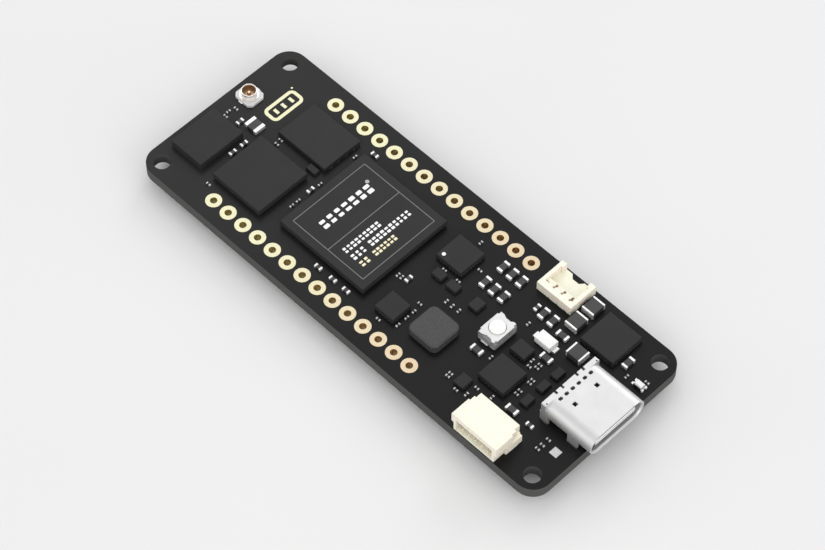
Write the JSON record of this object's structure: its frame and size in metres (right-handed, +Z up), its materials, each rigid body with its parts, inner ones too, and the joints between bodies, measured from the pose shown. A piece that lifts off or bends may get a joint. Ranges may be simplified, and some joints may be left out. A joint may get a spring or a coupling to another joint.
{
  "type": "microcontroller development board",
  "caption": "Small black circuit board with a processor, a radio module, a USB-C socket, wire sockets, plated pin holes and a sprung reset button.",
  "frame": {"origin": "centre of the four mounting holes, on the board's underside", "axes": "+X along the board towards the USB-C socket, +Y towards the battery socket's edge, +Z up out of the component side"},
  "size_m": [0.067, 0.0254, 0.0063],
  "materials": {
    "board_laminate": "smooth black solder mask",
    "gold_plating": "smooth plating",
    "copper_alloy": "smooth",
    "ivory_plastic": "smooth moulded",
    "chip_laminate": "smooth laminate",
    "chip_plastic": "fine matte moulded",
    "tin_metal": "soft tin",
    "coil_compound": "pressed powder",
    "ceramic_dark": "fired ceramic",
    "ceramic_brown": "fired ceramic",
    "white_plastic": "smooth moulded",
    "clear_lens": "clear cast resin",
    "button_plastic": "smooth moulded",
    "cream_plastic": "smooth moulded",
    "steel_sheet": "satin pressed sheet",
    "socket_plastic": "smooth moulded"
  },
  "bodies": {
    "board": {"antenna_base": "ivory_plastic", "antenna_liner": "copper_alloy", "antenna_pin": "gold_plating", "antenna_ring": "gold_plating", "antenna_strip": "gold_plating", "battery_housing": "ivory_plastic", "battery_pins": "tin_metal", "button_base": "button_plastic", "button_cover": "steel_sheet", "button_dome": "steel_sheet", "button_terminals": "tin_metal", "chip_balls": "tin_metal", "chip_coil_bodies": "ceramic_dark", "chip_coil_ends": "tin_metal", "circuit_board": "board_laminate", "diode_body": "white_plastic", "diode_ends": "tin_metal", "filter_bodies": "ceramic_dark", "filter_ends": "tin_metal", "flash_body": "chip_plastic", "flash_leads": "tin_metal", "gold_badge": "gold_plating", "header_pads": "gold_plating", "lamp_base": "socket_plastic", "lamp_ends": "tin_metal", "lamp_lens": "clear_lens", "medium_bodies": "ceramic_dark", "medium_ends": "tin_metal", "memory_base": "chip_laminate", "memory_cap": "chip_plastic", "power_coil_body": "coil_compound", "power_coil_ends": "tin_metal", "processor_base": "chip_laminate", "processor_cap": "chip_plastic", "quad_bodies": "chip_plastic", "quad_leads": "tin_metal", "side_housing": "ivory_plastic", "side_pins": "tin_metal", "side_tabs": "tin_metal", "small_bodies": "ceramic_brown", "small_chip_bodies": "chip_plastic", "small_chip_leads": "tin_metal", "small_ends": "tin_metal", "stack_housings": "socket_plastic", "stack_pins": "gold_plating", "test_pads": "gold_plating", "tiny_bodies": "ceramic_dark", "tiny_ends": "tin_metal", "usb_housing": "socket_plastic", "usb_midplate": "steel_sheet", "usb_pins": "gold_plating", "usb_shell": "steel_sheet", "usb_tongue": "white_plastic", "wireless_base": "chip_laminate", "wireless_cap": "chip_plastic"},
    "reset_cap": {"button_plunger": "cream_plastic"}
  },
  "joints": [
    {"name": "reset_press", "type": "slide", "parent": "board", "child": "reset_cap", "axis": [0, 0, -1], "range_m": [0, 0.0002], "stiffness_N_per_m": 5000, "deforming": ["button_dome"]}
  ]
}
